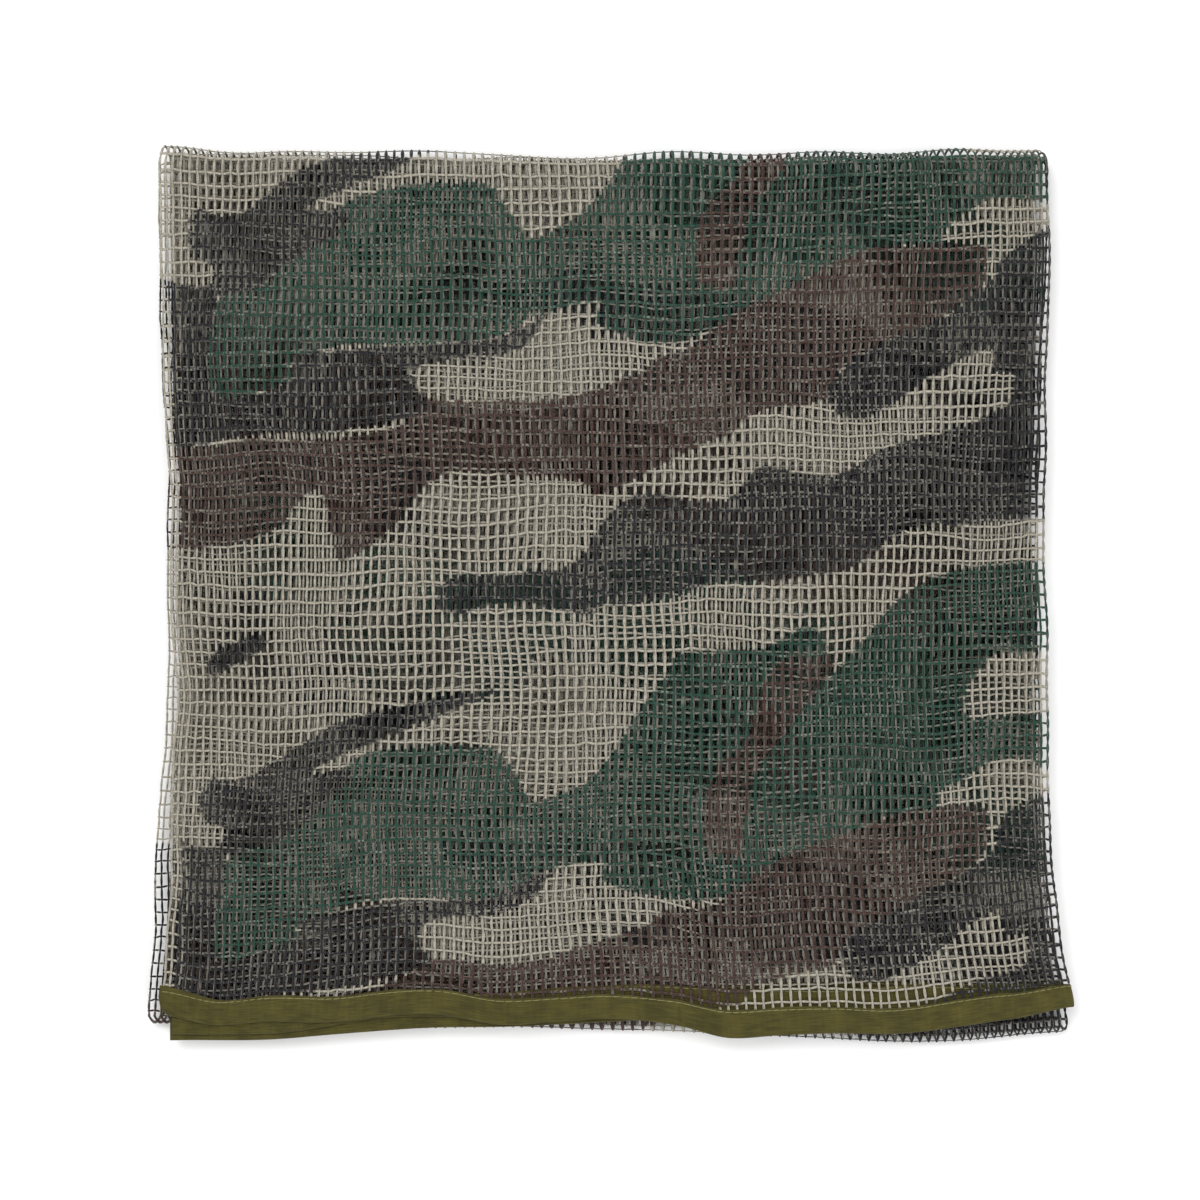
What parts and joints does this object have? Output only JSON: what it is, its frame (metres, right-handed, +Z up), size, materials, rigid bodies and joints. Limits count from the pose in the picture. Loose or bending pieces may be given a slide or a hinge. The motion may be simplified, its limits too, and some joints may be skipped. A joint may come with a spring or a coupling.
{
  "type": "folded camouflage net scarf",
  "caption": "Open-mesh camouflage net scarf or face veil with taped hems, folded into a square stack; its last fold opens like a book.",
  "frame": {"origin": "centre of the folded stack's box, on the surface it lies on", "axes": "+X along the hem tapes towards the side folds, +Y towards the last fold, +Z up through the plies"},
  "size_m": [0.4866, 0.4632, 0.0186],
  "materials": {
    "net": "matte open mesh, printed in tan, green, brown and black",
    "hem_tape": "matte plain-weave olive tape",
    "seam_thread": "slightly lustrous sewing thread"
  },
  "bodies": {
    "lower_stack": {"net_ply_5": "net", "net_ply_6": "net", "net_ply_7": "net", "net_ply_8": "net", "net_side_fold_5_6": "net", "net_side_fold_7_8": "net", "net_bottom_fold_5_8": "net", "net_bottom_fold_6_7": "net", "net_last_fold_1_8": "net", "net_last_fold_2_7": "net", "net_last_fold_3_6": "net", "net_last_fold_4_5": "net"},
    "upper_stack": {"net_ply_1": "net", "net_ply_2": "net", "net_ply_3": "net", "net_ply_4": "net", "net_side_fold_1_2": "net", "net_side_fold_3_4": "net", "hem_tape_outer": "hem_tape", "hem_tape_inner": "hem_tape", "needle_thread_outer": "seam_thread", "bobbin_thread_outer": "seam_thread", "needle_thread_inner": "seam_thread", "bobbin_thread_inner": "seam_thread"}
  },
  "joints": [
    {"name": "last_fold", "type": "hinge", "parent": "lower_stack", "child": "upper_stack", "pos_m": [0, 0.22369, 0.0093], "axis": [-1, 0, 0], "range_deg": [0, 179.9], "deforming": ["net_last_fold_1_8", "net_last_fold_2_7", "net_last_fold_3_6", "net_last_fold_4_5"]}
  ]
}
